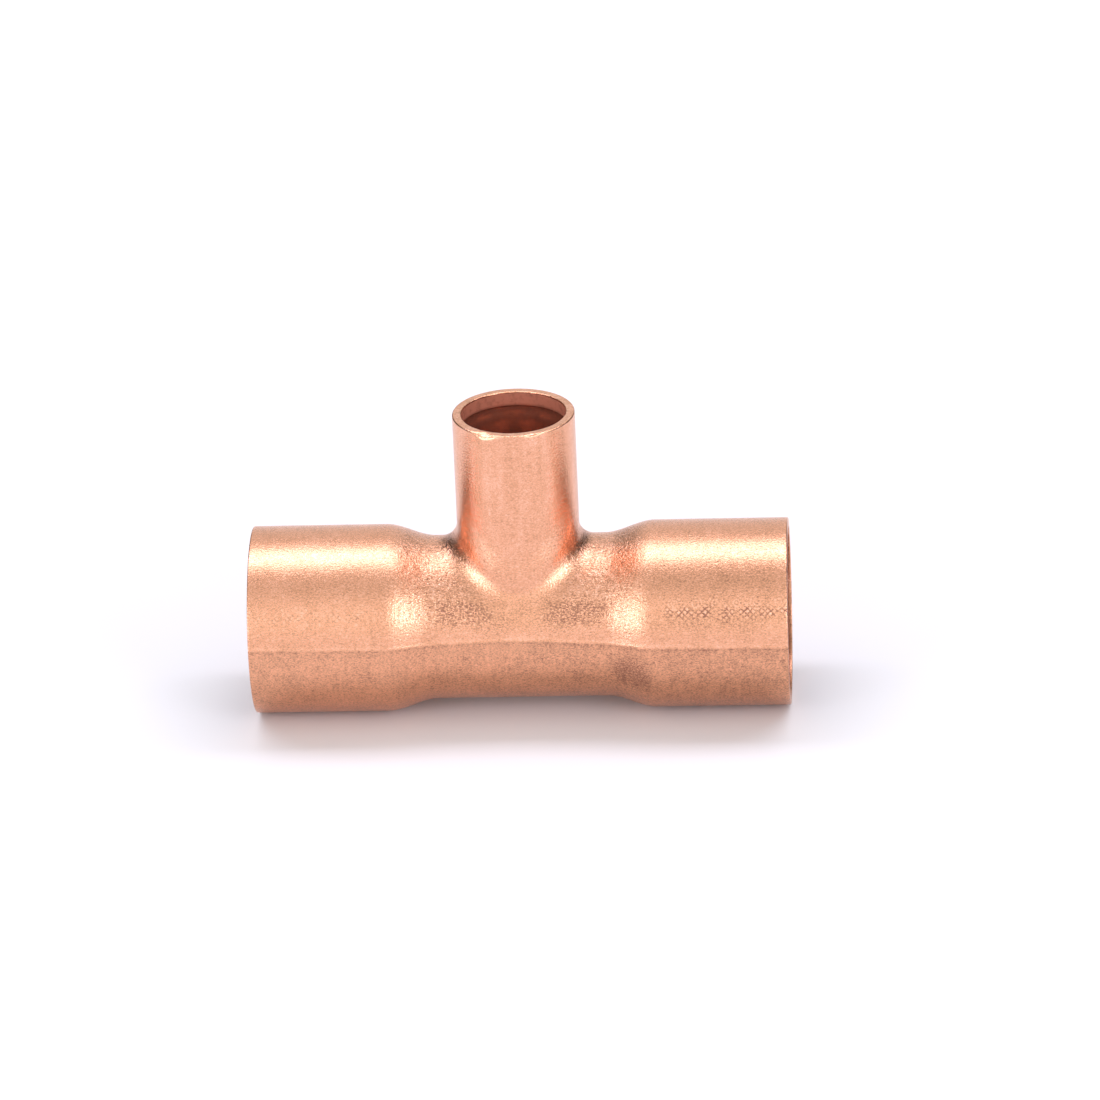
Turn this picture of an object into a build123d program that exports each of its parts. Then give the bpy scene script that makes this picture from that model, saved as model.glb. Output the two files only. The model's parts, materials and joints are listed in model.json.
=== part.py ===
"""Copper reducing tee for soldered tube: two equal run sockets and a smaller branch socket.

Millimetres. X lies along the run, Z points up the branch, and the origin is where the two
centre lines cross. The fitting is formed from one copper tube, so it is one solid.
"""

from build123d import *
import os

# Run: two sockets for 15.88 mm (5/8 in) tube, joined by a narrower waist.
RUN_CENTRE_TO_END = 24.9
RUN_SOCKET_OD = 17.4
RUN_SOCKET_BORE = 15.98
RUN_SOCKET_DEPTH = 12.7
WAIST_OD = 15.2
WAIST_BORE = 13.6

# The S-shaped shoulders outside run between these distances from the branch's axis.
SHOULDER_START = 12.5
SHOULDER_END = 7.9

# Branch: one socket for 9.53 mm (3/8 in) tube, with a narrower throat below its tube stop.
BRANCH_CENTRE_TO_END = 20.55
BRANCH_OD = 11.32
BRANCH_BORE = 9.66
BRANCH_SOCKET_DEPTH = 6.2
BRANCH_STOP_LENGTH = 0.8
THROAT_BORE = 8.8

# Rounding where the branch is drawn out of the run's wall, outside and inside.
ROOT_FILLET = 1.3
THROAT_FILLET = 1.6

# Sizing groove inside the branch mouth.
GROOVE_FROM_RIM = 1.36
GROOVE_WIDTH = 0.25
GROOVE_DEPTH = 0.06

# Line left along both sides of the run where the two halves of the forming die met. The plane
# between the halves leans, so that the line is a little higher at the front than at the back.
PARTING_TILT = 3.3
RIDGE_HEIGHT = 0.06
RIDGE_DEGREES = 2.0
RIDGE_END_GAP = 0.4

# Broken edges at the three mouths.
RIM_ROUND = 0.15

run_stop = RUN_CENTRE_TO_END - RUN_SOCKET_DEPTH
branch_stop = BRANCH_CENTRE_TO_END - BRANCH_SOCKET_DEPTH
throat_top = branch_stop - BRANCH_STOP_LENGTH


def run_profile(half_length, socket_radius, waist_radius, shoulder_start):
    """Area between the run's axis and its wall, with an S-shaped shoulder each side of the waist."""
    with BuildSketch(Plane.XZ) as profile:
        with BuildLine():
            Polyline((0, waist_radius), (0, 0), (half_length, 0), (half_length, socket_radius),
                     (shoulder_start, socket_radius))
            Spline((shoulder_start, socket_radius), (SHOULDER_END, waist_radius),
                   tangents=[(-1, 0), (-1, 0)])
            Line((SHOULDER_END, waist_radius), (0, waist_radius))
        make_face()
        mirror(about=Plane.YZ)
    return profile.sketch


def branch_bore_profile():
    """Area between the branch's axis and its inner wall: socket, groove, tube stop and throat."""
    groove_top = BRANCH_CENTRE_TO_END - GROOVE_FROM_RIM
    with BuildSketch(Plane.XZ) as profile:
        with BuildLine():
            Polyline((THROAT_BORE / 2, throat_top), (THROAT_BORE / 2, 0), (0, 0),
                     (0, BRANCH_CENTRE_TO_END), (BRANCH_BORE / 2, BRANCH_CENTRE_TO_END),
                     (BRANCH_BORE / 2, branch_stop))
            Spline((BRANCH_BORE / 2, branch_stop), (THROAT_BORE / 2, throat_top),
                   tangents=[(0, -1), (0, -1)])
        make_face()
        with Locations((0, groove_top - GROOVE_WIDTH / 2)):
            Rectangle(BRANCH_BORE / 2 + GROOVE_DEPTH, GROOVE_WIDTH, align=(Align.MIN, Align.CENTER))
    return profile.sketch


def saddle_edges(part):
    """The curve where the branch meets the waist."""
    curved = part.edges().filter_by(GeomType.BSPLINE)
    beside_the_branch = curved.filter_by_position(Axis.X, -SHOULDER_END, SHOULDER_END)
    return beside_the_branch.filter_by_position(Axis.Z, 0, WAIST_OD / 2)


# The outside, as a solid bar with its branch.
with BuildPart() as outside:
    bar = run_profile(RUN_CENTRE_TO_END, RUN_SOCKET_OD / 2, WAIST_OD / 2, SHOULDER_START)
    revolve(bar, axis=Axis.X)
    with BuildSketch(Plane.XY):
        Circle(BRANCH_OD / 2)
    extrude(amount=BRANCH_CENTRE_TO_END)
    fillet(saddle_edges(outside), ROOT_FILLET)

# The waterway, as the solid that the bores would hold.
with BuildPart() as waterway:
    bore = run_profile(RUN_CENTRE_TO_END, RUN_SOCKET_BORE / 2, WAIST_BORE / 2, run_stop)
    revolve(bore, axis=Axis.X)
    revolve(branch_bore_profile(), axis=Axis.Z)
    fillet(saddle_edges(waterway), THROAT_FILLET)

# A pair of slim raised lines, one along each side of the run.
with BuildPart() as parting_ridges:
    ridge = run_profile(
        RUN_CENTRE_TO_END - RIDGE_END_GAP,
        RUN_SOCKET_OD / 2 + RIDGE_HEIGHT,
        WAIST_OD / 2 + RIDGE_HEIGHT,
        SHOULDER_START,
    )
    for side in (90, -90):
        first_edge = side - PARTING_TILT - RIDGE_DEGREES / 2
        revolve(ridge.rotate(Axis.X, first_edge), axis=Axis.X, revolution_arc=RIDGE_DEGREES)

with BuildPart() as tee_body:
    add(outside.part)
    add(parting_ridges.part)
    add(waterway.part, mode=Mode.SUBTRACT)
    circles = tee_body.edges().filter_by(GeomType.CIRCLE)
    run_mouths = circles.group_by(Axis.X)[0] + circles.group_by(Axis.X)[-1]
    branch_mouth = circles.group_by(Axis.Z)[-1]
    fillet(run_mouths + branch_mouth, RIM_ROUND)

tee_body.part.label = "tee_body"
os.makedirs("parts", exist_ok=True)
export_step(tee_body.part, "parts/tee_body.step")
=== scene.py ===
"""The looks of a copper reducing tee: its formed surface, its satin metal and a plain studio.

The tee is one piece of copper, so one mesh stands for it. That mesh is a grid wrapped round the
run, outside and bore, with a square opening over the waist. A second grid starts at the edge of
that opening outside, climbs the branch, turns over its rim and comes down its bore to the edge
of the opening inside. Lengths are in metres.
"""

import bpy
import json
import math
import numpy as np
from mathutils import Matrix, Vector, noise


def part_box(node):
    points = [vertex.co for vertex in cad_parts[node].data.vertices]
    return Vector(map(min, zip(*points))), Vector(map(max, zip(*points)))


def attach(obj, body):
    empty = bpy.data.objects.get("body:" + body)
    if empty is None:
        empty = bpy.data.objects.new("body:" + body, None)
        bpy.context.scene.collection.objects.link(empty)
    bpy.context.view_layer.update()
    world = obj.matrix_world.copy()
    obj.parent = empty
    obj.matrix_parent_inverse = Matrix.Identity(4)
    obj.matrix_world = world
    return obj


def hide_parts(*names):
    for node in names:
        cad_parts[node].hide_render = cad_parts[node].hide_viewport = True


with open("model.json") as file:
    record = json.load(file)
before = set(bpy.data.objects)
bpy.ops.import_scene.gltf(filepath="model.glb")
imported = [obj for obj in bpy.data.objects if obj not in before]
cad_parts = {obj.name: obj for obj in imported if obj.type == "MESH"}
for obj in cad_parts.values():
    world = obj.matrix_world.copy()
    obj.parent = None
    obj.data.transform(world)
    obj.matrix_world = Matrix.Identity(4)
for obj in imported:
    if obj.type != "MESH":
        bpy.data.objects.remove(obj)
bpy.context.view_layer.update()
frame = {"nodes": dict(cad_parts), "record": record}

MM = 0.001
NODE = "tee_body"


# ------------------------------------------------------------------ camera

VIEW_AZIMUTH = math.radians(3.88)
VIEW_ELEVATION = math.radians(24.74)
VIEW_ROLL = math.radians(2.56)      # the object leans this much anticlockwise in the picture
VIEW_DISTANCE = 680 * MM
SENSOR_WIDTH = 36.0
LENS = 239.1
AIM_RIGHT = 2.58 * MM               # from the crossing of the centre lines to the view's middle
AIM_UP = 6.05 * MM


def add_camera():
    """A long lens, a little above the tee and to its right."""
    flat = math.cos(VIEW_ELEVATION)
    toward_camera = Vector((math.sin(VIEW_AZIMUTH) * flat, -math.cos(VIEW_AZIMUTH) * flat,
                            math.sin(VIEW_ELEVATION)))
    right = Vector((math.cos(VIEW_AZIMUTH), math.sin(VIEW_AZIMUTH), 0))
    up = toward_camera.cross(right)
    rolled_right = right * math.cos(VIEW_ROLL) - up * math.sin(VIEW_ROLL)
    rolled_up = right * math.sin(VIEW_ROLL) + up * math.cos(VIEW_ROLL)

    place = toward_camera * VIEW_DISTANCE
    aim = rolled_right * AIM_RIGHT + rolled_up * AIM_UP
    back = (place - aim).normalized()
    right = (rolled_right - back * rolled_right.dot(back)).normalized()
    turn = Matrix((right, back.cross(right), back)).transposed()

    data = bpy.data.cameras.new("camera")
    data.sensor_width = SENSOR_WIDTH
    data.lens = LENS
    camera = bpy.data.objects.new("camera", data)
    camera.matrix_world = Matrix.Translation(place) @ turn.to_4x4()
    bpy.context.scene.collection.objects.link(camera)
    bpy.context.scene.camera = camera


add_camera()


# ------------------------------------------------------------------ sizes

def socket_of(mount_name):
    """(bore radius, depth) of a socket."""
    found = next(m for m in frame["record"]["mounts"] if m["name"] == mount_name)
    return found["dims"]["r_mm"] * MM, found["dims"]["length_mm"] * MM


SHOULDER_START = 12.5 * MM          # the shoulders narrow from here to SHOULDER_END
SHOULDER_END = 7.9 * MM
CLOSE_BY = 0.1 * MM
UPPER_BRANCH = 0.8                  # from this share of the branch's height it is clear of its root

low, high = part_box(NODE)
cad = np.array([v.co for v in frame["nodes"][NODE].data.vertices])
at_waist = np.abs(np.abs(cad[:, 0]) - SHOULDER_END) < CLOSE_BY
up_branch = cad[:, 2] > UPPER_BRANCH * high.z

RUN_END = high.x
BRANCH_END = high.z
SOCKET_OUTER = -low.z
WAIST_OUTER = -cad[at_waist, 2].min()
BRANCH_OUTER = cad[up_branch, 0].max()
SOCKET_BORE, SOCKET_DEPTH = socket_of("run_socket_right")
BRANCH_BORE, BRANCH_DEPTH = socket_of("branch_socket")

WAIST_BORE = 6.8 * MM
THROAT_BORE = 4.4 * MM              # the branch's bore below its tube stop
STOP_LENGTH = 0.8 * MM
CROTCH_FILLET = 1.9 * MM            # round the branch's root, towards the sockets
CROTCH_SKEW = 0.3 * MM              # it is this much larger to the left and smaller to the right
FRONT_FILLET = 2.7 * MM             # towards the front and back, where the root flares too
ROOT_FLARE = 0.35 * MM
FLARE_HEIGHT = 3.5 * MM
THROAT_FILLET = 1.6 * MM

RIM_ROUND = 0.14 * MM
BORE_RIM_ROUND = 0.09 * MM
BURR = 0.05 * MM                    # unevenness of the rim's inner edge
BURR_LIMIT = 1.2                    # no burr is larger than this times BURR
BURR_ROOM = 1.5 * BURR              # so the bore's wall begins this far below the rim's rounding
WORN_ACROSS = 0.62 * MM             # knocks have bevelled the branch's rim this far in
WORN_DOWN = 0.34 * MM               # and this far down
WORN_PLACES = ((-116, 10, 0.9), (-70, 6, 0.4))  # angle, spread and strength of each knock

LIP_FROM_RIM = 1.34 * MM            # in the branch's mouth the bore opens under a small lip
LIP_HEIGHT = 0.24 * MM
LIP_DEPTH = 0.18 * MM
LIP_FADE = 1.3 * MM

RIDGE_HEIGHT = 0.07 * MM            # left where the two halves of the forming die met
RIDGE_ABOVE = 0.35 * MM             # how far it spreads above and below the parting plane
RIDGE_BELOW = 0.9 * MM
PARTING_TILT = math.radians(3.3)    # the parting plane is higher at the front than at the back
PARTING_LEAN = 0.0097               # it falls by this share of the way from left to right
PARTING_BOW = 0.42 * MM             # and rises by this much round the middle of the waist
BOW_REACH = 6.5 * MM

RUN_STOP = RUN_END - SOCKET_DEPTH
BRANCH_STOP = BRANCH_END - BRANCH_DEPTH
THROAT_TOP = BRANCH_STOP - STOP_LENGTH


# ------------------------------------------------------------------ the grid

PATCH_ANGLE = math.radians(67.5)    # the opening over the waist reaches this far from the top line
PATCH_AROUND = 72                   # grid steps across the opening, and along the waist
PATCH_ALONG = 56
SIDE_STEPS = 66                     # from the opening's edge down to the bottom line
SOCKET_STEPS = 36
SHOULDER_STEPS = 20
ROUND_STEPS = 6
PATCH_RINGS = 14
PATCH_CROWDING = 1.4                # above 1 these rings draw together towards the branch
FILLET_RINGS = 14
BRANCH_RINGS = 40
BRANCH_BORE_STEPS = (6, 8, 8, 19, 8)    # down the mouth, the lip, its fade, the socket and the stop
THROAT_RINGS = 16
CROWD_SPREAD = math.radians(6)      # columns crowd together this near a parting ridge
CROWD_SHARE = 0.55                  # and come this much closer to it


class Shell:
    """Gathers grids of points into one mesh. Each point also says whether it lies in a bore."""

    def __init__(self):
        self.points, self.inside, self.quads, self.count = [], [], [], 0

    def add(self, points, inside):
        """Store a grid of points, rows by columns, and return their numbers in the same grid."""
        rows, columns = points.shape[:2]
        numbers = self.count + np.arange(rows * columns).reshape(rows, columns)
        self.points.append(points.reshape(-1, 3))
        self.inside.append(np.repeat(np.asarray(inside, float), columns))
        self.count += rows * columns
        return numbers

    def join(self, numbers, leave_out=None):
        """Quads between neighbours in a grid of point numbers whose rows are closed rings."""
        ring = np.concatenate([numbers, numbers[:, :1]], axis=1)
        quads = np.stack([ring[:-1, :-1], ring[:-1, 1:], ring[1:, 1:], ring[1:, :-1]], axis=-1)
        if leave_out is not None:
            quads = quads[~leave_out]
        self.quads.append(quads.reshape(-1, 4))

    def mesh(self, name):
        """The finished mesh, without the points that no quad uses."""
        quads = np.concatenate(self.quads)
        used, corners = np.unique(quads, return_inverse=True)
        points = np.concatenate(self.points)[used]
        inside = np.concatenate(self.inside)[used]
        marks = surface_marks(points, inside)
        points = points + waves(points, marks)
        mesh = bpy.data.meshes.new(name)
        mesh.from_pydata(points.tolist(), [], corners.reshape(-1, 4).tolist())
        for mark, values in marks.items():
            attribute = mesh.attributes.new(mark, "FLOAT", "POINT")
            attribute.data.foreach_set("value", values.astype(np.float32))
        mesh.shade_smooth()
        return mesh


# ------------------------------------------------------------------ finishes and painted shade

BRANCH_FINISH_FROM = 1.0 * MM       # the branch's finish begins this far above the waist
BRANCH_FINISH_FADE = 2.5 * MM
BRANCH_REACH = 1.05 * BRANCH_OUTER
WORKED_PAST_SHOULDER = 0.6 * MM     # forming worked the metal from here to the middle
WORKED_FADE = 4.0 * MM
WORKED_SIDE_FADE = 3.0 * MM         # above the parting line
WORKED_TOP = 8.0 * MM               # from this height it fades out up the branch
WORKED_TOP_FADE = 5.0 * MM
SMOOTH_ROOT = 1.2 * MM              # the front and back of the root were rubbed smooth this far out
LOWER_FADE = 0.35 * MM

# Darker places on the run, in millimetres and degrees: x, reach along x, angle from the top
# line, spread and strength. The two on the right socket are tarnish. The others, on the waist
# below the branch and low on the right shoulder, are painted shade: dark reflections painted in.
TARNISH_AND_SHADE_PLACES = (
    (18.5, 6.3, 48, 31, 0.07),
    (18.5, 6.3, 69, 6, 0.07),
    (5.6, 3.0, 64, 9, 0.26),
    (0.3, 2.3, 66, 10, 0.08),
    (-5.0, 3.0, 64, 9, 0.24),
    (10.3, 1.8, 108, 13, 0.14),
)

WAVE_SEED = 3
WAVE_SIZE = 0.004 * MM
WORKED_WAVE_SIZE = 0.012 * MM       # added on worked metal
WAVES_PER_METRE = 0.45 / MM


def fade(value, start, width):
    """A smooth step: 0 up to start, and 1 from width beyond it."""
    t = np.clip((value - start) / width, 0.0, 1.0)
    return t * t * (3.0 - 2.0 * t)


def parting_rise(x):
    """How far the parting line lies above its tilted plane."""
    return PARTING_BOW * np.exp(-(x / BOW_REACH) ** 2) - PARTING_LEAN * x


def surface_marks(points, inside):
    """Where each finish and each painted shade lies, from 0 to 1, at every point, and its height above the
    parting line.
    """
    x, y, z = points.T
    branch = fade(z, WAIST_OUTER + BRANCH_FINISH_FROM, BRANCH_FINISH_FADE) * (np.abs(x) < BRANCH_REACH)
    above_parting = z * math.cos(PARTING_TILT) + y * math.sin(PARTING_TILT) - parting_rise(x)
    from_axis = np.hypot(x, y)
    rubbed = (1 - fade(from_axis, BRANCH_OUTER + SMOOTH_ROOT, SMOOTH_ROOT)) * (y / from_axis) ** 2
    worked = (fade(SHOULDER_START - np.abs(x), -WORKED_PAST_SHOULDER, WORKED_FADE)
              * fade(above_parting, 0, WORKED_SIDE_FADE) * (1 - fade(z, WORKED_TOP, WORKED_TOP_FADE)))
    from_top = np.degrees(np.arctan2(np.abs(y), z))
    # Tarnish on the right socket, and painted shade for dark reflections on the waist and the right
    # shoulder.
    tarnish_and_shade = sum(amount * np.exp(-((x / MM - at) / reach) ** 4 - ((from_top - angle) / spread) ** 4)
               for at, reach, angle, spread, amount in TARNISH_AND_SHADE_PLACES)
    return {
        "inside": inside,
        "branch": branch,
        "worked": worked * (1 - rubbed) * (1 - inside),
        # below the parting line: its smoother finish, and where painted shade darkens the copper
        "lower": 1 - fade(above_parting, -LOWER_FADE / 2, LOWER_FADE),
        "tarnish_and_shade": tarnish_and_shade * (1 - branch),
        "brushed": fade(z, BRANCH_END - LIP_FROM_RIM - LIP_HEIGHT / 2, LIP_HEIGHT) * inside,
        "above_parting": above_parting / MM,
    }


def waves(points, marks):
    """Small waves from the forming: the surface is nowhere a perfect cylinder."""
    noise.seed_set(WAVE_SEED)
    size = WAVE_SIZE + WORKED_WAVE_SIZE * marks["worked"]
    offsets = np.array([noise.noise_vector(Vector(p) * WAVES_PER_METRE) for p in points])
    return offsets * size[:, None]


# ------------------------------------------------------------------ the run

def run_outside(x):
    widened = fade(np.abs(x), SHOULDER_END, SHOULDER_START - SHOULDER_END)
    return WAIST_OUTER + (SOCKET_OUTER - WAIST_OUTER) * widened


def run_bore(x):
    widened = fade(np.abs(x), SHOULDER_END, RUN_STOP - SHOULDER_END)
    return WAIST_BORE + (SOCKET_BORE - WAIST_BORE) * widened


def ridge(x, theta):
    """Height of the parting ridge at an angle from the top line: a cusp on each side."""
    around = np.abs(np.angle(np.exp(1j * (theta - PARTING_TILT))))
    below = (around - math.pi / 2) * SOCKET_OUTER + parting_rise(x)
    return RIDGE_HEIGHT * np.exp(-np.where(below > 0, below / RIDGE_BELOW, -below / RIDGE_ABOVE))


def on_run(x, theta, radius):
    return np.stack(np.broadcast_arrays(x, radius * np.sin(theta), radius * np.cos(theta)), axis=-1)


def rim(end, outer, bore, bore_round=BORE_RIM_ROUND, worn=0.0):
    """(distance along the axis, radius) over a mouth's rim, from its outside to its bore.

    The last two may each be one number or a row of them, one for each angle round the mouth. Where
    worn is 1 a flat bevel takes the place of the round outer edge.
    """
    step = np.linspace(0.0, 1.0, ROUND_STEPS + 1)[:, None]
    turn = step * math.pi / 2
    worn, bore_round = np.broadcast_arrays(np.atleast_1d(worn), bore_round)
    down = RIM_ROUND + (WORN_DOWN - RIM_ROUND) * worn
    across = RIM_ROUND + (WORN_ACROSS - RIM_ROUND) * worn
    upward = np.sin(turn) + (step - np.sin(turn)) * worn
    inward = 1 - np.cos(turn) + (step - 1 + np.cos(turn)) * worn
    along = [end - down * (1 - upward), end - bore_round * (1 - np.cos(turn))]
    radius = [outer - across * inward, bore + bore_round * (1 - np.sin(turn))]
    return np.concatenate(along), np.concatenate(radius)


def half_run(start, shoulder_start):
    """Stations from a mouth to the waist, closest together over the shoulder."""
    socket = np.linspace(start, shoulder_start, SOCKET_STEPS + 1)[:-1]
    shoulder = np.linspace(shoulder_start, SHOULDER_END, SHOULDER_STEPS + 1)[:-1]
    return np.concatenate([socket, shoulder])


def run_stations():
    """(x, radius) and inside mark of every ring of the run's grid, once round the wall's section.

    Also the first row of the opening over the waist, outside and in the bore.
    """
    waist = np.linspace(SHOULDER_END, -SHOULDER_END, PATCH_ALONG + 1)
    rim_x, rim_radius = [part[:, 0] for part in rim(RUN_END, SOCKET_OUTER, SOCKET_BORE)]
    outer_half = half_run(rim_x[0], SHOULDER_START)[1:]
    bore_half = half_run(rim_x[-1], RUN_STOP)[1:]

    outer_x = np.concatenate([outer_half, waist, -outer_half[::-1]])
    bore_x = -np.concatenate([bore_half, waist, -bore_half[::-1]])
    x = np.concatenate([outer_x, -rim_x, bore_x, rim_x[::-1]])
    radius = np.concatenate([run_outside(outer_x), rim_radius, run_bore(bore_x), rim_radius[::-1]])
    inside = np.zeros(len(x))
    bore_start = len(outer_x) + len(rim_x)
    inside[bore_start:bore_start + len(bore_x)] = 1
    return x[:, None], radius[:, None], inside, len(outer_half), bore_start + len(bore_half)


def crowd(angles, at, shift):
    """A row of angles for each shift, drawn together round the angle at and moved there by the shift."""
    nearest = angles[np.argmin(np.abs(angles - at))]
    angles = angles + (at - nearest) * np.exp(-((angles - at) / CROWD_SPREAD) ** 2)
    angles = angles - CROWD_SHARE * (angles - at) * np.exp(-((angles - at) / CROWD_SPREAD) ** 2)
    return angles + shift * np.exp(-((angles - at) / CROWD_SPREAD) ** 2)


def run_angles(x):
    """Angles from the top line, a row for each station: the opening first, then on round.

    The columns crowd together at the parting ridges, and follow them.
    """
    opening = np.linspace(-PATCH_ANGLE, PATCH_ANGLE, PATCH_AROUND + 1)
    side = np.linspace(PATCH_ANGLE, math.pi, SIDE_STEPS + 1)
    shift = -parting_rise(x) / SOCKET_OUTER
    back = crowd(side, math.pi / 2 + PARTING_TILT, shift)
    front = crowd(side, math.pi / 2 - PARTING_TILT, shift)
    opening = np.broadcast_to(opening, (len(x), len(opening)))
    return np.concatenate([opening, back[:, 1:], 2 * math.pi - front[:, -2:0:-1]], axis=1)


def opening_loop(numbers):
    """Point numbers round the edge of the opening, from a block whose first row is at +x."""
    top = numbers[0, :-1]
    right = numbers[:-1, -1]
    bottom = numbers[-1, :0:-1]
    left = numbers[:0:-1, 0]
    return np.concatenate([top, right, bottom, left])


def opening_edge():
    """(x, theta, phi) round the edge of the opening: phi is the matching angle round the branch."""
    x, across = np.meshgrid(np.linspace(1, -1, PATCH_ALONG + 1),
                            np.linspace(-1, 1, PATCH_AROUND + 1), indexing="ij")
    x, across = opening_loop(x), opening_loop(across)
    by_x = np.abs(x) >= np.abs(across)
    safe_x, safe_across = np.where(by_x, x, 1), np.where(by_x, 1, across)
    phi = np.where(by_x,
                   math.pi / 4 * across / safe_x + np.where(x < 0, math.pi, 0),
                   math.pi / 2 - math.pi / 4 * x / safe_across + np.where(across < 0, math.pi, 0))
    return x * SHOULDER_END, across * PATCH_ANGLE, phi


# ------------------------------------------------------------------ the branch

def saddle(edge, branch, waist, fillet):
    """Rings from the opening's edge to the branch's wall, where a ball of radius fillet rolls round.

    The first rings lie on the waist and the others on the fillet. Also the height of the last.
    """
    edge_x, edge_theta, phi = edge
    reach = branch + fillet
    centre = np.stack([reach * np.cos(phi), reach * np.sin(phi),
                       np.sqrt((waist + fillet) ** 2 - (reach * np.sin(phi)) ** 2)], axis=-1)
    foot_theta = np.arcsin(reach * np.sin(phi) / (waist + fillet))

    t = (np.arange(1, PATCH_RINGS + 1) / PATCH_RINGS)[:, None]
    t = 1 - (1 - t) ** PATCH_CROWDING
    x = edge_x + (centre[:, 0] - edge_x) * t
    theta = edge_theta + (foot_theta - edge_theta) * t
    flat_rings = on_run(x, theta, waist)

    to_waist = -centre * [0, 1, 1] / np.broadcast_to(waist + fillet, phi.shape)[:, None]
    to_branch = np.stack([-np.cos(phi), -np.sin(phi), np.zeros_like(phi)], axis=-1)
    sweep = np.arccos((to_waist * to_branch).sum(axis=-1))[:, None]
    t = (np.arange(1, FILLET_RINGS + 1) / FILLET_RINGS)[:, None, None]
    way = (np.sin((1 - t) * sweep) * to_waist + np.sin(t * sweep) * to_branch) / np.sin(sweep)
    ball = np.broadcast_to(fillet, phi.shape)[:, None]
    return np.concatenate([flat_rings, centre + ball * way]), centre[:, 2]


def on_branch(z, radius, phi):
    """Rings round the branch, one for each height and radius."""
    return np.stack(np.broadcast_arrays(radius * np.cos(phi), radius * np.sin(phi), z), axis=-1)


def uneven_round(phi):
    """Rounding of the branch rim's inner edge, with the burrs that cutting and brushing left."""
    around = np.stack([np.cos(phi), np.sin(phi), np.zeros_like(phi)], axis=-1) * BRANCH_BORE / MM
    fine, broad, broad_share = 2.3, 0.8, 0.6
    burrs = np.array([noise.noise(Vector(p) * fine) + broad_share * noise.noise(Vector(p) * broad)
                      for p in around])
    return BORE_RIM_ROUND + BURR * np.clip(burrs, -BURR_LIMIT, BURR_LIMIT)


def wear(phi):
    """How far knocks have bevelled the branch's rim, from 0 to 1, at each angle round it."""
    worn = np.zeros_like(phi)
    for at, spread, strength in WORN_PLACES:
        away = np.degrees(np.angle(np.exp(1j * (phi - math.radians(at)))))
        worn = worn + strength * np.exp(-(away / spread) ** 2)
    return worn


def wall_heights(start, end, steps):
    """Heights of the rings after the first, from start to end; either may be a row for each angle."""
    t = (np.arange(1, steps + 1) / steps)[:, None]
    return start + (end - start) * t


def branch_bore():
    """(height, radius) down the branch's bore: the lip at its mouth, the socket and the tube stop."""
    lip_top = BRANCH_END - LIP_FROM_RIM
    lip_end = lip_top - LIP_HEIGHT
    fade_end = lip_end - LIP_FADE
    mouth = BRANCH_END - BORE_RIM_ROUND - BURR_ROOM
    ends = (mouth, lip_top, lip_end, fade_end, BRANCH_STOP, THROAT_TOP)
    stretches = [np.linspace(a, b, n + 1)[:-1] for a, b, n in zip(ends, ends[1:], BRANCH_BORE_STEPS)]
    z = np.concatenate(stretches + [[THROAT_TOP]])
    opened = fade(z, fade_end, LIP_FADE) * (1 - fade(z, lip_end, LIP_HEIGHT))
    closed = 1 - fade(z, THROAT_TOP, STOP_LENGTH)
    radius = BRANCH_BORE + LIP_DEPTH * opened - (BRANCH_BORE - THROAT_BORE) * closed
    return z[:, None], radius[:, None]


def run_grid(shell):
    """The run, outside and bore. Returns the point numbers round the opening, outside and in the bore."""
    x, radius, inside, outer_row, bore_row = run_stations()
    angles = run_angles(x)
    proud = ridge(x, angles) * (1 - inside[:, None])
    run = shell.add(on_run(x, angles, radius + proud), inside)
    run = np.concatenate([run, run[:1]])
    open_here = np.zeros(angles.shape, bool)
    for row in (outer_row, bore_row):
        open_here[row:row + PATCH_ALONG, :PATCH_AROUND] = True
    shell.join(run, open_here)
    block = slice(0, PATCH_AROUND + 1)
    return (opening_loop(run[outer_row:outer_row + PATCH_ALONG + 1, block]),
            opening_loop(run[bore_row:bore_row + PATCH_ALONG + 1, block][::-1]))


def branch_outside(edge):
    """Rings from the opening's edge over the root, up the branch and over its rim."""
    phi = edge[2]
    off_crotch = 1 - np.cos(phi) ** 4
    fillet = CROTCH_FILLET + (FRONT_FILLET - CROTCH_FILLET) * off_crotch - CROTCH_SKEW * np.cos(phi) ** 3
    flare = ROOT_FLARE * off_crotch
    root, root_height = saddle(edge, BRANCH_OUTER + flare, WAIST_OUTER, fillet)
    rim_z, rim_radius = rim(BRANCH_END, BRANCH_OUTER, BRANCH_BORE, uneven_round(phi), wear(phi))
    wall_z = wall_heights(root_height, rim_z[0], BRANCH_RINGS)[:-1]
    wall_radius = BRANCH_OUTER + flare * (1 - fade(wall_z, root_height, FLARE_HEIGHT))
    return np.concatenate([root, on_branch(wall_z, wall_radius, phi), on_branch(rim_z, rim_radius, phi)])


def branch_inside(edge):
    """Rings from the branch's mouth down its bore and throat to the opening's edge."""
    phi = edge[2]
    root, root_height = saddle(edge, THROAT_BORE, WAIST_BORE, THROAT_FILLET)
    return np.concatenate([
        on_branch(*branch_bore(), phi),
        on_branch(wall_heights(THROAT_TOP, root_height, THROAT_RINGS), THROAT_BORE, phi),
        root[-2::-1],
    ])


def build_tee():
    shell = Shell()
    outer_edge, bore_edge = run_grid(shell)
    edge = opening_edge()
    outside, bore = branch_outside(edge), branch_inside(edge)
    outer_rows = shell.add(outside, np.zeros(len(outside)))
    bore_rows = shell.add(bore, np.ones(len(bore)))
    shell.join(np.concatenate([outer_edge[None], outer_rows, bore_rows, bore_edge[None]]))
    return shell.mesh("tee")


tee = bpy.data.objects.new("tee", build_tee())
bpy.context.scene.collection.objects.link(tee)


# ------------------------------------------------------------------ copper

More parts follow.
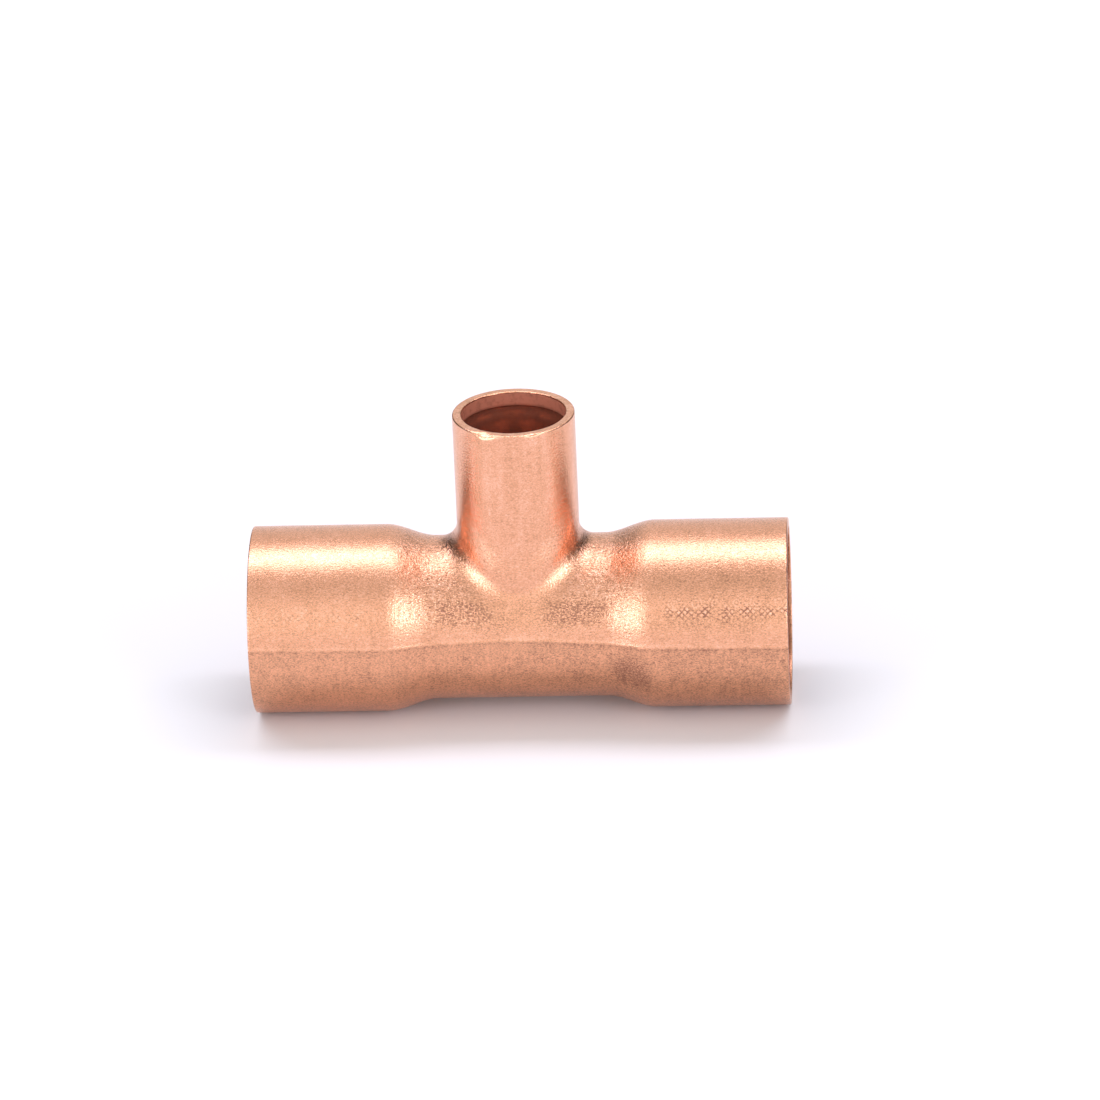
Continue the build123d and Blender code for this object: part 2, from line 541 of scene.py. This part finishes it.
COPPER = (0.82, 0.392, 0.23, 1)
COPPER_PALE = (0.95, 0.54, 0.39, 1)
COPPER_BROWNED = (0.65, 0.335, 0.20, 1)
COPPER_SPECK = (0.33, 0.15, 0.10, 1)
COPPER_BORE = (0.54, 0.22, 0.135, 1)
COPPER_BRUSHED = (0.84, 0.33, 0.21, 1)     # in the branch, between its rim and the lip

TONE_STOPS = ((0.10, COPPER_SPECK), (0.33, COPPER_BROWNED), (0.50, COPPER), (0.85, COPPER_PALE))

# Places and sizes in the material are in millimetres, and noise scales in cells per millimetre.
GRIP_PITCH = 1.9                    # between the marks that the sizing tool's grip left
GRIP_PHASE = 0.68
GRIP_STARTS = 13.2                  # they lie on the sockets, beyond this distance from the middle
GRIP_LOW_ROW = -9.9                 # where their two rows lie, as an arc from the top line
GRIP_HIGH_ROW = -9.1
STROKES_CLOSE = 5.4                 # how close the low row's strokes are, in radians per millimetre
STROKES_DARK, STROKES_FALL = 1.5, -2.6
STROKES_ALONG, STROKES_ACROSS = 0.79, 0.56      # how far a patch of them reaches
STROKES_WARP = 0.35                 # they bend by this share of the rings' bending
RINGS_CLOSE = 20.0                  # the high row's rings
RINGS_REACH = 0.62
RINGS_STRENGTH = 0.4
RINGS_WARP = 9.0
FAR_OFF = 50 * GRIP_PITCH           # keeps the lengths that are divided into pitches positive

GRAIN_SCALE = 6.5
TARNISH_SCALE = 7.0
PEEL_SCALE = 2.6
MOTTLE_SCALE = 1.9
CLOUD_SCALE = 0.45
ALONG_STREAK, ACROSS_STREAK = 0.35, 4.0
ALONG_BAND, ACROSS_BAND = 0.08, 0.9
SHORT_STROKES = (0.75, 1.2, 1.2)

# Heights of the relief. Worked metal adds to it, and a bore's wall takes away.
GRAIN_HEIGHT, GRAIN_WORKED, GRAIN_INSIDE = 0.030, 0.006, -0.016
STREAK_HEIGHT, STREAK_INSIDE = 0.020, -0.012
PEEL_HEIGHT = 0.070
GRIP_HEIGHT = -0.012

# Tone runs from 0, a dark speck, to 1, pale. It starts from PLAIN_TONE and each thing shifts it.
PLAIN_TONE = 0.38
TARNISH_TONE, TARNISH_WORKED, TARNISH_DULL, TARNISH_LOWER = 1.6, 0.9, 2.2, -0.1
MOTTLE_TONE, MOTTLE_WORKED = 0.22, 0.45
STREAK_TONE = 0.2
BAND_TONE = 0.6
BAND_MIDDLE = 0.40
CLOUD_TONE = 0.26
# Below the parting line the copper darkens to these tones: partly its own browner finish there and partly
# painted shade, for the shadowed floor that the underside mirrors.
LOWER_LEFT_TONE, LOWER_RIGHT_TONE = -0.13, -0.18
LOWER_REACH = 14.0                  # between these two tones, on both sides of the middle
# A painted shade just under the parting ridge's crest and a painted highlight just above it, as light from
# above falls on the ridge:
RIDGE_PAINTED_SHADE = (-0.12, 0.15, -0.11)  # height above the parting line, width and tone
RIDGE_PAINTED_HIGHLIGHT = (0.20, 0.20, 0.09)
GRIP_TONE = -0.5
BORE_SPECKS = 2.0                   # the mottling's share in a bore's colour

ROUGHNESS, ROUGH_CLOUDS, ROUGH_LOWER, ROUGH_BRANCH, ROUGH_INSIDE = 0.23, 0.06, 0.04, -0.03, -0.06
METALLIC_INSIDE, METALLIC_BRUSHED = -0.22, -0.28    # oxide and dust dull the bores


class Nodes:
    """A few short calls for building a node tree."""

    def __init__(self, tree):
        self.tree = tree
        tree.nodes.clear()

    def add(self, kind, inputs=None, **settings):
        node = self.tree.nodes.new(kind)
        for name, value in settings.items():
            setattr(node, name, value)
        for name, value in (inputs or {}).items():
            self.put(node.inputs[name], value)
        return node

    def put(self, socket, value):
        """Link a socket to another node's output, or set its value."""
        if isinstance(value, bpy.types.NodeSocket):
            self.tree.links.new(value, socket)
        else:
            socket.default_value = value

    def math(self, operation, *values):
        node = self.tree.nodes.new("ShaderNodeMath")
        node.operation = operation
        for socket, value in zip(node.inputs, values):
            self.put(socket, value)
        return node.outputs[0]

    def plus(self, *values):
        total = values[0]
        for value in values[1:]:
            total = self.math("ADD", total, value)
        return total

    def times(self, *values):
        product = values[0]
        for value in values[1:]:
            product = self.math("MULTIPLY", product, value)
        return product

    def noise(self, coordinates, scale, detail=2.0, roughness=0.5, distortion=0.0):
        return self.add("ShaderNodeTexNoise", {
            "Vector": coordinates, "Scale": scale, "Detail": detail,
            "Roughness": roughness, "Distortion": distortion,
        }).outputs["Fac"]

    def stretch(self, coordinates, scale):
        return self.add("ShaderNodeMapping", {"Vector": coordinates, "Scale": scale}).outputs[0]

    def mark(self, name):
        return self.add("ShaderNodeAttribute", attribute_name=name).outputs["Fac"]

    def ramp(self, value, low, high, to_low=0.0, to_high=1.0):
        return self.add("ShaderNodeMapRange", {
            "Value": value, "From Min": low, "From Max": high, "To Min": to_low, "To Max": to_high,
        }, interpolation_type="SMOOTHSTEP").outputs["Result"]

    def mix(self, share, first, second):
        node = self.add("ShaderNodeMix", data_type="RGBA")
        for socket, value in zip([s for s in node.inputs if s.enabled], (share, first, second)):
            self.put(socket, value)
        return next(s for s in node.outputs if s.enabled)


def bell(n, value, centre, width, size):
    """A hump of the given size and width as value passes centre."""
    away = n.times(n.plus(value, -centre), 1 / width)
    return n.times(n.math("EXPONENT", n.times(away, away, -1.0)), size)


def from_nearest_mark(n, x, arc, shift, row):
    """How far a place is from the middle of the nearest grip mark, along the run and across it."""
    along = n.math("MODULO", n.plus(x, GRIP_PHASE + shift + FAR_OFF), GRIP_PITCH)
    return n.plus(along, -GRIP_PITCH / 2), n.plus(arc, -row)


def crossed_strokes(n, along, across, warp):
    """A patch of dark strokes that cross each other."""
    warp = n.times(warp, STROKES_WARP)
    rising = n.math("SINE", n.plus(n.times(n.plus(along, across), STROKES_CLOSE), warp))
    falling = n.math("SINE", n.plus(n.times(n.math("SUBTRACT", along, across), STROKES_CLOSE), warp))
    off_stroke = n.math("MINIMUM", n.math("ABSOLUTE", rising), n.math("ABSOLUTE", falling))
    return n.times(n.plus(STROKES_DARK, n.times(off_stroke, STROKES_FALL)),
                   bell(n, along, 0.0, STROKES_ALONG, 1.0), bell(n, across, 0.0, STROKES_ACROSS, 1.0))


def pale_rings(n, along, across, warp):
    """Faint pale rings that fade out from their middle."""
    away = n.math("SQRT", n.plus(n.times(along, along), n.times(across, across)))
    rings = n.plus(n.math("SINE", n.plus(n.times(away, RINGS_CLOSE), warp)), -0.5)
    return n.times(rings, bell(n, away, 0.0, RINGS_REACH, RINGS_STRENGTH))


def grip_marks(n, place):
    """Marks in two rows along each socket's front, where the sizing tool gripped it.

    The low row has crossed strokes and the high one pale rings. Both are fainter on the left, and
    broken up so that no two marks are alike.
    """
    x, y, z = n.add("ShaderNodeSeparateXYZ", {"Vector": place}).outputs
    arc = n.times(n.math("ARCTAN2", y, z), SOCKET_OUTER / MM)
    warp = n.times(n.noise(place, scale=1.3), RINGS_WARP)
    strokes = crossed_strokes(n, *from_nearest_mark(n, x, arc, 0.0, GRIP_LOW_ROW), warp)
    rings = pale_rings(n, *from_nearest_mark(n, x, arc, GRIP_PITCH / 2, GRIP_HIGH_ROW), warp)
    broken = n.ramp(n.noise(place, scale=1.6), low=0.35, high=0.62, to_low=0.45)
    on_socket = n.ramp(n.math("ABSOLUTE", x), GRIP_STARTS, GRIP_STARTS + 1.0)
    rightward = n.ramp(x, low=-1.0, high=1.0, to_low=0.35)
    return n.times(n.plus(strokes, rings), broken, on_socket, rightward)


def tone_colour(n, tone):
    """The colour ramp from a dark speck to pale copper."""
    shades = n.add("ShaderNodeValToRGB", {"Fac": tone})
    stops = shades.color_ramp.elements
    stops[0].position, stops[0].color = TONE_STOPS[0]
    stops[1].position, stops[1].color = TONE_STOPS[-1]
    for position, shade in TONE_STOPS[1:-1]:
        stops.new(position).color = shade
    return shades.outputs["Color"]


def copper():
    material = bpy.data.materials.new("copper")
    material.use_nodes = True
    n = Nodes(material.node_tree)
    place = n.stretch(n.add("ShaderNodeTexCoord").outputs["Object"], (1 / MM,) * 3)
    x = n.add("ShaderNodeSeparateXYZ", {"Vector": place}).outputs["X"]
    worked, branch, inside = n.mark("worked"), n.mark("branch"), n.mark("inside")
    lower, tarnish_and_shade, brushed = n.mark("lower"), n.mark("tarnish_and_shade"), n.mark("brushed")
    above_parting = n.mark("above_parting")
    off_branch = n.math("SUBTRACT", 1.0, branch)

    grain = n.noise(place, GRAIN_SCALE, roughness=0.6)
    peel = n.noise(place, PEEL_SCALE, detail=2.5, roughness=0.65, distortion=0.8)
    along_run = n.stretch(place, (ACROSS_STREAK, ALONG_STREAK, ALONG_STREAK))
    along_branch = n.stretch(place, (ALONG_STREAK, ALONG_STREAK, ACROSS_STREAK))
    streaks = n.plus(n.times(n.noise(along_run, 1.0, detail=3.0, roughness=0.6), off_branch),
                     n.times(n.noise(along_branch, 1.0, detail=3.0, roughness=0.6), branch))
    bands = n.noise(n.stretch(place, (ACROSS_BAND, ACROSS_BAND, ALONG_BAND)), 1.0, roughness=0.6)
    grip = grip_marks(n, place)
    height = n.plus(
        n.times(grain, n.plus(GRAIN_HEIGHT, n.times(worked, GRAIN_WORKED), n.times(inside, GRAIN_INSIDE))),
        n.times(peel, worked, PEEL_HEIGHT),
        n.times(streaks, n.plus(STREAK_HEIGHT, n.times(inside, STREAK_INSIDE))),
        n.times(grip, GRIP_HEIGHT),
    )
    normal = n.add("ShaderNodeBump", {"Height": height, "Distance": MM, "Strength": 1.0}).outputs[0]

    clouds = n.noise(place, CLOUD_SCALE, detail=3.0, roughness=0.6)
    mottle = n.plus(n.noise(place, MOTTLE_SCALE, roughness=0.6), -0.5)
    tarnish = n.noise(n.stretch(place, SHORT_STROKES), TARNISH_SCALE, detail=3.0, roughness=0.8)
    tarnish_share = n.plus(TARNISH_TONE, n.times(worked, TARNISH_WORKED), n.times(tarnish_and_shade, TARNISH_DULL),
                           n.times(lower, TARNISH_LOWER))
    # painted shade and painted highlight along the parting ridge
    ridge_painted_light = n.plus(bell(n, above_parting, *RIDGE_PAINTED_SHADE), bell(n, above_parting, *RIDGE_PAINTED_HIGHLIGHT))
    ridge_painted_light = n.times(ridge_painted_light, n.ramp(clouds, low=0.30, high=0.60, to_low=0.4), off_branch)
    tone = n.plus(
        PLAIN_TONE,
        n.times(n.plus(tarnish, -0.5), tarnish_share),
        n.times(mottle, n.plus(MOTTLE_TONE, n.times(worked, MOTTLE_WORKED))),
        n.times(n.plus(streaks, -0.5), STREAK_TONE),
        n.times(n.plus(bands, -BAND_MIDDLE), branch, BAND_TONE),
        n.times(clouds, CLOUD_TONE),
        # partly the browner finish below the parting line, partly painted shade
        n.times(lower, n.ramp(x, -LOWER_REACH, LOWER_REACH, LOWER_LEFT_TONE, LOWER_RIGHT_TONE)),
        # painted shade on the waist and the right shoulder, and the right socket's tarnish
        n.times(tarnish_and_shade, -1.0),
        ridge_painted_light,
        n.times(grip, GRIP_TONE),
    )
    bore = n.mix(n.times(mottle, BORE_SPECKS), n.mix(brushed, COPPER_BORE, COPPER_BRUSHED), COPPER_SPECK)
    shader = n.add("ShaderNodeBsdfPrincipled", {
        "Base Color": n.mix(inside, tone_colour(n, tone), bore),
        "Metallic": n.plus(1.0, n.times(inside, METALLIC_INSIDE), n.times(brushed, METALLIC_BRUSHED)),
        "Roughness": n.plus(ROUGHNESS, n.times(clouds, ROUGH_CLOUDS), n.times(lower, ROUGH_LOWER),
                            n.times(branch, ROUGH_BRANCH), n.times(inside, ROUGH_INSIDE)),
        "Normal": normal,
    })
    n.add("ShaderNodeOutputMaterial", {"Surface": shader.outputs[0]})
    return material


tee.data.materials.append(copper())
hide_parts(NODE)
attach(tee, "root")


# ------------------------------------------------------------------ studio

FLOOR_HALF_SIDE = 3.0
FLOOR_COLOUR = (0.77, 0.77, 0.77, 1)
WALL_LIGHT = 1.16                   # the studio's bright front wall
BACK_LIGHT = 0.86                   # its duller back wall
SIDE_LIGHT = 0.06                   # its dark sides
CEILING_LIGHT = 0.82
SIDE_AZIMUTH = math.radians(117)    # the middle of each side, round from the front
SIDE_FADE = (0.58, 0.78)            # where each part of the room takes over from the front wall, on a
BACK_FADE = (0.0, 0.5)              # scale that is 0 square to its direction and 1 along it
CEILING_FADE = (0.60, 0.85)
BOX_DISTANCE = 1.2
SOFTBOX_COLOUR = (0.88, 0.85, 1.0)

# Name, azimuth and elevation, the width and height that it fills, all in degrees, and radiance.
SOFTBOXES = (
    ("softbox_overhead", 0, 105.5, 95, 21, 4.1),
    ("softbox_right", 43, 21, 20, 27, 5.0),
    ("softbox_left", -45, 15, 20, 27, 4.6),
)


def add_floor():
    half = FLOOR_HALF_SIDE
    corners = [(-half, -half, low.z), (half, -half, low.z), (half, half, low.z), (-half, half, low.z)]
    mesh = bpy.data.meshes.new("floor")
    mesh.from_pydata(corners, [], [(0, 1, 2, 3)])
    material = bpy.data.materials.new("floor")
    material.use_nodes = True
    n = Nodes(material.node_tree)
    shader = n.add("ShaderNodeBsdfPrincipled", {
        "Base Color": FLOOR_COLOUR, "Roughness": 0.9, "Specular IOR Level": 0.2,
    })
    n.add("ShaderNodeOutputMaterial", {"Surface": shader.outputs[0]})
    mesh.materials.append(material)
    floor = bpy.data.objects.new("floor", mesh)
    bpy.context.scene.collection.objects.link(floor)


def add_world():
    """A pale room: bright in front, less bright behind and above, dark at the sides."""
    world = bpy.data.worlds.new("studio")
    world.use_nodes = True
    n = Nodes(world.node_tree)
    x, y, z = n.add("ShaderNodeSeparateXYZ", {
        "Vector": n.add("ShaderNodeTexCoord").outputs["Generated"],
    }).outputs
    sideways = n.plus(n.times(n.math("ABSOLUTE", x), math.sin(SIDE_AZIMUTH)),
                      n.times(y, -math.cos(SIDE_AZIMUTH)))
    ends = n.ramp(y, *BACK_FADE, WALL_LIGHT, BACK_LIGHT)
    walls = n.ramp(sideways, *SIDE_FADE, ends, SIDE_LIGHT)
    ceiling = n.ramp(z, *CEILING_FADE)
    light = n.plus(n.times(walls, n.math("SUBTRACT", 1.0, ceiling)), n.times(ceiling, CEILING_LIGHT))
    sky = n.add("ShaderNodeBackground", {"Color": (1, 1, 1, 1), "Strength": light})
    n.add("ShaderNodeOutputWorld", {"Surface": sky.outputs[0]})
    bpy.context.scene.world = world


def add_softbox(name, azimuth, elevation, width, height, radiance):
    """A softbox facing the tee. Angles in degrees; its sides are given as the angles that they fill."""
    azimuth, elevation = math.radians(azimuth), math.radians(elevation)
    toward = Vector((math.sin(azimuth) * math.cos(elevation), -math.cos(azimuth) * math.cos(elevation),
                     math.sin(elevation)))
    data = bpy.data.lights.new(name, "AREA")
    data.shape = "RECTANGLE"
    data.size = 2 * BOX_DISTANCE * math.tan(math.radians(width) / 2)
    data.size_y = 2 * BOX_DISTANCE * math.tan(math.radians(height) / 2)
    data.color = SOFTBOX_COLOUR
    data.energy = radiance * math.pi * data.size * data.size_y
    box = bpy.data.objects.new(name, data)
    box.location = toward * BOX_DISTANCE
    box.rotation_mode = "QUATERNION"
    box.rotation_quaternion = (-toward).to_track_quat("-Z", "Y")
    box.visible_camera = False
    bpy.context.scene.collection.objects.link(box)


add_floor()
add_world()
for softbox in SOFTBOXES:
    add_softbox(*softbox)
bpy.context.scene.view_settings.view_transform = "Standard"
